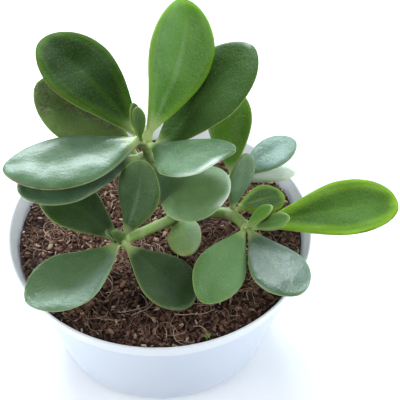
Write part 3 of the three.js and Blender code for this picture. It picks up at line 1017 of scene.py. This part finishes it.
def buildChips(material, look):
    dice = random.Random(look["seed"])
    points, faces, tone, warm = [], [], [], []
    for _ in range(look["chips"]):
        x, y = scatterSpot(dice, soilEdge - 0.8 * mm)
        length = dice.uniform(*look["chipLength"]) * mm * dice.uniform(0.5, 1.0)
        width = length * dice.uniform(0.25, 0.6)
        thick = width * dice.uniform(0.35, 0.8)
        turn = dice.uniform(0, 2 * math.pi)
        tilt = dice.gauss(0, 0.35)
        roll = dice.gauss(0, 0.5)
        level = math.cos(tilt)
        grain = np.array((math.cos(turn) * level, math.sin(turn) * level, math.sin(tilt)))
        flat = unit(np.cross([0, 0, 1], grain))
        over = np.cross(grain, flat)
        flat, over = (flat * math.cos(roll) + over * math.sin(roll),
                      over * math.cos(roll) - flat * math.sin(roll))
        lift = thick * dice.uniform(-0.1, 0.6) + dice.uniform(0, 0.5) * mm
        centre = np.array((x, y, soilHeight(x, y) + lift))
        first = len(points)
        shade = min(1.0, max(0.0, dice.gauss(0.40, 0.22)))
        if dice.random() < look["paleShare"]:
            shade = dice.uniform(0.78, 1.0)
        heat = dice.random()
        for u in (-1, -0.35, 0.4, 1):
            taper = 1 - 0.45 * abs(u) ** 2 * dice.uniform(0.3, 1.2)
            for v, w in ((-1, -1), (1, -1), (1, 1), (-1, 1)):
                jitter = [dice.uniform(0.75, 1.25) for _ in range(3)]
                lengthwise = grain * (u * length / 2 * jitter[0])
                crosswise = flat * (v * width / 2 * taper * jitter[1])
                upwards = over * (w * thick / 2 * taper * jitter[2])
                points.append(centre + lengthwise + crosswise + upwards)
                tone.append(shade)
                warm.append(heat)
        faces += gridFaces(4, 4, start=first) + endCaps(4, 4, start=first)
    tags = {"chipTone": tone, "chipWarm": warm}
    return meshObject("coirChips", points, faces, material, smooth=False, tags=tags)


def addFibre(parts, dice, x, y, length, radius, curl, shade):
    # one thin curved strand on the soil; its length and radius come in millimetres
    length, radius = length * mm, radius * mm
    points, faces, tone, warm = parts
    turn = dice.uniform(0, 2 * math.pi)
    steps = max(6, int(length / (1.5 * mm)))
    lift = dice.uniform(0.1, 1.3) * mm
    walk = []
    for k in range(steps):
        turn += curl / steps + dice.gauss(0, 0.14)
        x += math.cos(turn) * length / steps
        y += math.sin(turn) * length / steps
        if math.hypot(x, y) > soilEdge - 0.8 * mm:
            break
        walk.append((x, y, soilHeight(x, y) + 0.8 * mm + lift * math.sin(math.pi * k / (steps - 1))))
    if len(walk) < 4:
        return
    walk = np.array(walk)
    heading = unit(np.gradient(walk, axis=0))
    flat = unit(np.cross(heading, [0, 0, 1]))
    over = np.cross(flat, heading)
    first = len(points)
    for k in range(len(walk)):
        thin = radius * (1 - 0.6 * k / len(walk))
        for v, w in ((1, 0), (0, 1), (-1, 0), (0, -1)):
            points.append(walk[k] + flat[k] * v * thin + over[k] * w * thin)
            tone.append(shade)
            warm.append(0.4)
    for k in range(len(walk) - 1):
        a, b = first + 4 * k, first + 4 * (k + 1)
        faces += [(a + i, b + i, b + (i + 1) % 4, a + (i + 1) % 4) for i in range(4)]
    end = first + 4 * (len(walk) - 1)
    faces += [(first, first + 1, first + 2, first + 3), (end + 3, end + 2, end + 1, end)]


def buildFibres(material, look):
    dice = random.Random(look["seed"] + 1)
    parts = [], [], [], []
    for _ in range(look["fibres"]):
        x, y = scatterSpot(dice, soilEdge - 3 * mm)
        addFibre(parts, dice, x, y, dice.uniform(4, 20), dice.uniform(0.08, 0.24), dice.gauss(0, 2.0),
                 dice.uniform(0.6, 1.0))
    for _ in range(look["tangles"]):               # curly knots of fibre, most of them on the left
        tx, ty = scatterSpot(dice, soilEdge - 10 * mm)
        tx = -abs(tx) if dice.random() < 0.7 else tx
        for _ in range(look["tangleFibres"]):
            x, y = tx + dice.gauss(0, 3) * mm, ty + dice.gauss(0, 3) * mm
            addFibre(parts, dice, x, y, dice.uniform(10, 26), dice.uniform(0.12, 0.3),
                     dice.choice((-1, 1)) * dice.uniform(3, 7), dice.uniform(0.75, 1.0))
    for x, y, length in look["strays"]:
        addFibre(parts, dice, x * mm, y * mm, length, 0.3, 1.6, 1.0)
    points, faces, tone, warm = parts
    return meshObject("coirFibres", points, faces, material, tags={"chipTone": tone, "chipWarm": warm})


coirFinish = soilMaterial(soilLook)
for build in (buildSoilBed, buildChips, buildFibres):
    piece = build(coirFinish, soilLook)
    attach(piece, "root")
    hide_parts("soil")
print("jade plant: coir laid")


sproutLook = {
    "leaves": 7,
    "leafLength": (1.2, 2.9),  # in millimetres
    "leafWidth": (0.22, 0.34),  # of the length
    "leafThickness": 0.14 * mm,
    "stalk": 0.35 * mm,
    "rootDepth": 0.8 * mm,
    "green": (0.10, 0.24, 0.03),
    "pale": (0.26, 0.44, 0.08),
}


def sproutMaterial(look):
    material, b, shader = newMaterial("tender seedling")
    flesh = useGroup(b, plantMottle, Deep=opaque(look["green"]), Light=opaque(look["pale"]), Amount=0.8)
    b.wire(flesh["Color"], shader.inputs["Base Color"])
    b.wire(b.plus(0.4, b.times(flesh["Patches"], 0.2)), shader.inputs["Roughness"])
    b.bump(shader, b.cloud(1500, 3), 0.3, 0.2 * mm)
    softLight(shader, 0.2, (1.0, 0.2, 0.1), 1 * mm)
    return material


def buildSprout(material, look):
    # narrow leaves that spread from the top of one thin stalk
    low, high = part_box("weed_sprout")
    centre = (low + high) / 2
    dice = random.Random(7)
    points, faces = [], []
    rows, columns = 9, 8
    for k in range(look["leaves"]):
        turn = k * 2.4 + dice.uniform(-0.3, 0.3)
        length = dice.uniform(*look["leafLength"]) * mm
        width = length * dice.uniform(*look["leafWidth"])
        top = np.array((centre.x, centre.y, high.z - dice.uniform(0.7, 1.8) * mm))
        heading = np.array((math.cos(turn), math.sin(turn), dice.uniform(0.1, 0.5)))
        flat = np.array((-math.sin(turn), math.cos(turn), 0))
        first = len(points)
        for r in range(rows):
            t = r / (rows - 1)
            opening = 0.25 + 0.75 * min(1, t * 1.8)
            half = width * math.sin(math.pi * min(1, t * 0.94 + 0.03)) ** 0.8 * opening
            middle = top + heading * length * t + np.array((0, 0, -0.5 * length * t * t))
            for c in range(columns):
                a = 2 * math.pi * c / columns
                lift = look["leafThickness"] * math.sin(a) + 0.35 * half * abs(math.cos(a))
                points.append(middle + flat * half * math.cos(a) + np.array((0, 0, lift)))
        faces += gridFaces(rows, columns, start=first) + endCaps(rows, columns, start=first)
    first = len(points)
    foot = low.z - look["rootDepth"]
    rows = 4
    for r in range(rows):
        z = foot + (high.z - 1 * mm - foot) * r / (rows - 1)
        for c in range(columns):
            a = 2 * math.pi * c / columns
            points.append((centre.x + look["stalk"] * math.cos(a), centre.y + look["stalk"] * math.sin(a), z))
    faces += gridFaces(rows, columns, start=first) + endCaps(rows, columns, start=first)
    return meshObject("weedSprout", points, faces, material)


sprout = buildSprout(sproutMaterial(sproutLook), sproutLook)
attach(sprout, "root")
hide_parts("weed_sprout")
print("jade plant: seedling up")


studioLook = {
    "floor": (0.93, 0.94, 0.95),
    "floorPatch": (0.95, 0.955, 0.965),
    "floorSize": 8.0,
    "floorGlow": 0.08,         # lit from below, so that shadows stay faint
    "sky": (0.86, 0.93, 1.0),
    "skyStrength": 0.96,
    "roomStrength": 0.12,      # the room on the viewer's side is dim
    "roomTowards": (0, -0.687, 0.727),
    "backdrop": 1.0,           # how bright the empty background looks in the picture
    "lightAim": (0, 0, 0.08),
    # place, size, watts and colour of each light
    "lights": {
        "backWindow": ((-0.15, 0.78, 0.83), (0.7, 0.24), 14.5, (0.82, 0.92, 1.0)),
        "leftFill": ((-0.9, -0.35, 0.45), (0.5, 0.5), 5.0, (1.0, 0.99, 0.97)),
        "rightFill": ((0.95, -0.3, 0.45), (0.5, 0.5), 5.0, (0.97, 0.99, 1.0)),
    },
}


def buildFloor(look):
    material, b, shader = newMaterial("pale studio floor")
    color = b.mix(b.span(b.cloud(6, 3), 0.3, 0.7), look["floor"], look["floorPatch"])
    b.wire(color, shader.inputs["Base Color"])
    b.wire(b.plus(0.7, b.times(b.cloud(40, 2), 0.15)), shader.inputs["Roughness"])
    shader.inputs["Emission Color"].default_value = opaque(look["floor"])
    shader.inputs["Emission Strength"].default_value = look["floorGlow"]
    half = look["floorSize"] / 2
    corners = [(-half, -half, 0), (half, -half, 0), (half, half, 0), (-half, half, 0)]
    meshObject("studioFloor", corners, [(0, 1, 2, 3)], material, smooth=False)


def areaLight(name, spot, aim, size, watts, color):
    light = bpy.data.lights.new(name, "AREA")
    light.shape = "RECTANGLE"
    light.size, light.size_y = size
    light.energy = watts
    light.color = color
    thing = bpy.data.objects.new(name, light)
    bpy.context.scene.collection.objects.link(thing)
    thing.location = spot
    thing.rotation_euler = (Vector(aim) - Vector(spot)).to_track_quat("-Z", "Y").to_euler()
    return thing


def buildSky(look):
    world = bpy.data.worlds.new("soft daylight")
    bpy.context.scene.world = world
    world.use_nodes = True
    b = Bench(world.node_tree)
    back = world.node_tree.nodes["Background"]
    back.inputs["Color"].default_value = opaque(look["sky"])
    toRoom = b.node("ShaderNodeVectorMath", operation="DOT_PRODUCT")
    b.wire(b.node("ShaderNodeTexCoord").outputs["Generated"], toRoom.inputs[0])
    toRoom.inputs[1].default_value = look["roomTowards"]
    glow = b.span(toRoom.outputs["Value"], 0.45, 0.85, look["skyStrength"], look["roomStrength"])
    seen = b.times(b.node("ShaderNodeLightPath").outputs["Is Camera Ray"], look["backdrop"])
    b.wire(b.math("MAXIMUM", glow, seen), back.inputs["Strength"])


def buildLights(look):
    made = {}
    for name, (spot, size, watts, color) in look["lights"].items():
        made[name] = areaLight(name, spot, look["lightAim"], size, watts, color)
    aside = bpy.data.collections.new("outOfTheWindowLight")      # the white pot would burn out from behind
    aside.objects.link(pot)
    aside.collection_objects[0].light_linking.link_state = "EXCLUDE"
    made["backWindow"].light_linking.receiver_collection = aside


cameraLook = {
    "tilt": 46.6,              # degrees down from level
    "distance": 0.560,
    "aim": (0.0197, 0.0174, 0.0704),
    "lens": 99.3,
    "sensor": 36,
}


def buildCamera(look):
    camera = bpy.data.cameras.new("mainCamera")
    camera.lens = look["lens"]
    camera.sensor_width = look["sensor"]
    camera.clip_start = 0.01
    thing = bpy.data.objects.new("mainCamera", camera)
    bpy.context.scene.collection.objects.link(thing)
    tilt = math.radians(look["tilt"])
    thing.location = Vector(look["aim"]) + Vector((0, -math.cos(tilt), math.sin(tilt))) * look["distance"]
    thing.rotation_euler = (math.pi / 2 - tilt, 0, 0)
    bpy.context.scene.camera = thing


buildFloor(studioLook)
buildSky(studioLook)
buildLights(studioLook)
buildCamera(cameraLook)
bpy.context.scene.view_settings.view_transform = "Standard"
print("jade plant: studio lit")
